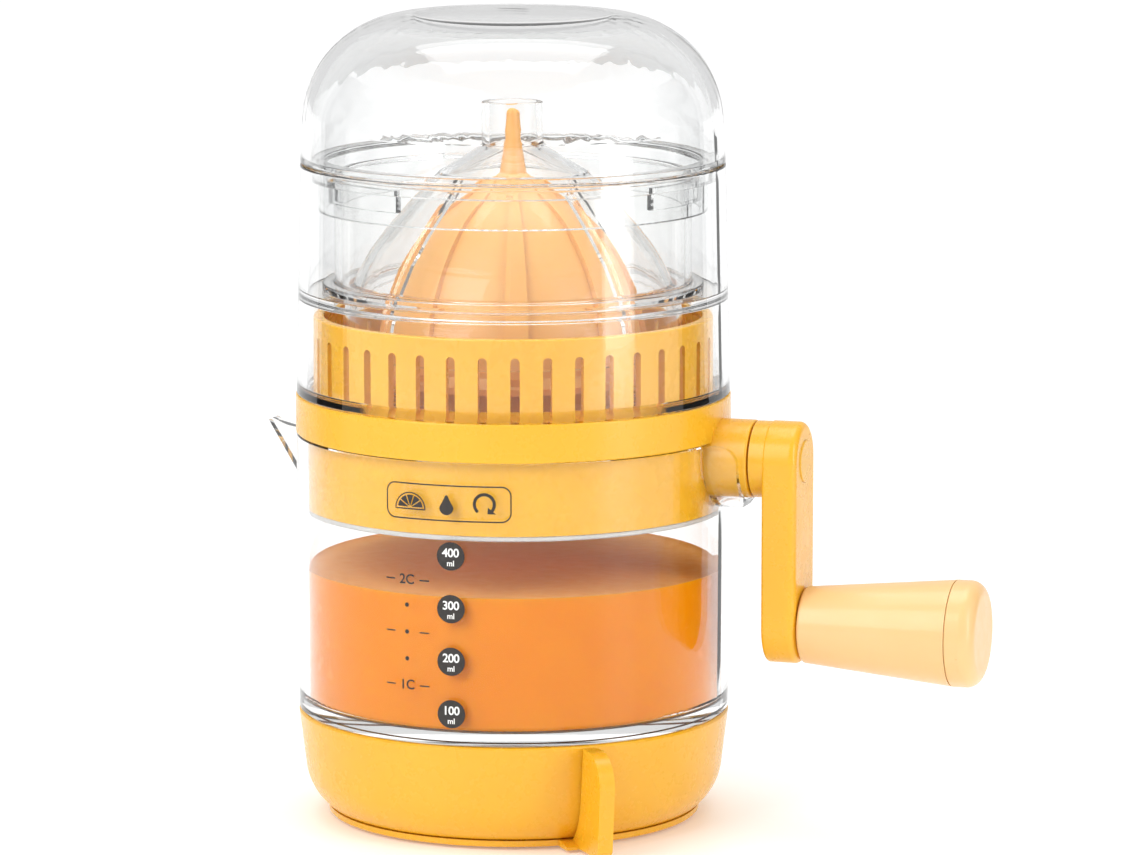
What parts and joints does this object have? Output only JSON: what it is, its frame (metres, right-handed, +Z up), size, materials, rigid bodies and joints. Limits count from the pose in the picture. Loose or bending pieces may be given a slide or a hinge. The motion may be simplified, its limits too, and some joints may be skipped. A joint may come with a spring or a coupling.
{
  "type": "hand cranked citrus juicer",
  "caption": "Table-top citrus juicer with a side crank, bevel-geared reamer, strainer, clear press housing and lid, graduated pouring cup and a suction base.",
  "frame": {"origin": "centre of the suction pad's flat underside, on the table", "axes": "+Z up; +X along the crank shaft towards the grip, so the spout points along -X; the graduated side of the cup faces -Y"},
  "size_m": [0.1803, 0.106, 0.1972],
  "materials": {
    "yellow_plastic": "moulded, glossy yellow ABS",
    "clear_plastic": "clear moulded SAN",
    "cream_plastic": "pale cream satin plastic",
    "white_nylon": "white nylon",
    "clear_silicone": "translucent silicone",
    "steel": "plain turned stainless steel"
  },
  "bodies": {
    "base": {"base_shell": "yellow_plastic", "lever_keeper": "yellow_plastic", "keeper_screw_1": "steel", "keeper_screw_2": "steel", "keeper_screw_3": "steel", "well_ring": "clear_silicone", "suction_pad": "clear_silicone"},
    "lever": {"suction_lever": "yellow_plastic"},
    "pad_lift": {"pad_core": "yellow_plastic", "cross_pin": "steel"},
    "cup": {"juice_cup": "clear_plastic"},
    "drive": {"drive_housing": "yellow_plastic", "gearbox_cover": "yellow_plastic", "cover_screw_1": "steel", "cover_screw_2": "steel", "cover_screw_3": "steel", "skirt_seal": "clear_silicone", "inner_bush": "white_nylon", "outer_bush": "white_nylon", "thrust_washer": "steel"},
    "crank": {"crank_arm": "yellow_plastic", "crank_screw": "steel", "crank_cap": "yellow_plastic", "drive_shaft": "steel", "bevel_pinion": "white_nylon", "grip_pin": "steel"},
    "grip": {"grip_sleeve": "cream_plastic", "grip_cap": "cream_plastic"},
    "crown": {"crown_gear": "white_nylon", "output_spindle": "steel"},
    "strainer": {"strainer_basket": "yellow_plastic"},
    "reamer": {"reamer_cone": "yellow_plastic", "reamer_socket": "white_nylon"},
    "housing": {"clear_housing": "clear_plastic"},
    "press": {"press_cup": "clear_plastic"},
    "lid": {"lid_dome": "clear_plastic", "lid_ring": "clear_plastic"}
  },
  "joints": [
    {"name": "lever_turn", "type": "hinge", "parent": "base", "child": "lever", "pos_m": [0, 0, 0], "axis": [0, 0, 1], "range_deg": [0, 60]},
    {"name": "pad_pull", "type": "slide", "parent": "base", "child": "pad_lift", "axis": [0, 0, 1], "range_m": [0, 0.003], "deforming": ["suction_pad"]},
    {"name": "cup_lift", "type": "slide", "parent": "base", "child": "cup", "axis": [0, 0, 1], "range_m": [0, 0.03]},
    {"name": "drive_lift", "type": "slide", "parent": "cup", "child": "drive", "axis": [0, 0, 1], "range_m": [0, 0.03]},
    {"name": "crank_spin", "type": "hinge", "parent": "drive", "child": "crank", "pos_m": [0, 0, 0.09], "axis": [1, 0, 0], "continuous": true},
    {"name": "grip_spin", "type": "hinge", "parent": "crank", "child": "grip", "pos_m": [0.09, 0, 0.05], "axis": [1, 0, 0], "continuous": true},
    {"name": "crown_spin", "type": "hinge", "parent": "drive", "child": "crown", "pos_m": [0, 0, 0.09], "axis": [0, 0, 1], "continuous": true},
    {"name": "strainer_lift", "type": "slide", "parent": "drive", "child": "strainer", "axis": [0, 0, 1], "range_m": [0, 0.03]},
    {"name": "reamer_spin", "type": "hinge", "parent": "strainer", "child": "reamer", "pos_m": [0, 0, 0.11], "axis": [0, 0, 1], "continuous": true},
    {"name": "housing_lift", "type": "slide", "parent": "strainer", "child": "housing", "axis": [0, 0, 1], "range_m": [0, 0.04]},
    {"name": "press_lift", "type": "slide", "parent": "housing", "child": "press", "axis": [0, 0, 1], "range_m": [0, 0.045]},
    {"name": "lid_lift", "type": "slide", "parent": "press", "child": "lid", "axis": [0, 0, 1], "range_m": [0, 0.03]}
  ],
  "couplings": [
    {"joint": "pad_pull", "follows": "lever_turn", "m_per_rad": 0.002864},
    {"joint": "crown_spin", "follows": "crank_spin", "ratio": -0.6},
    {"joint": "reamer_spin", "follows": "crank_spin", "ratio": -0.6}
  ]
}
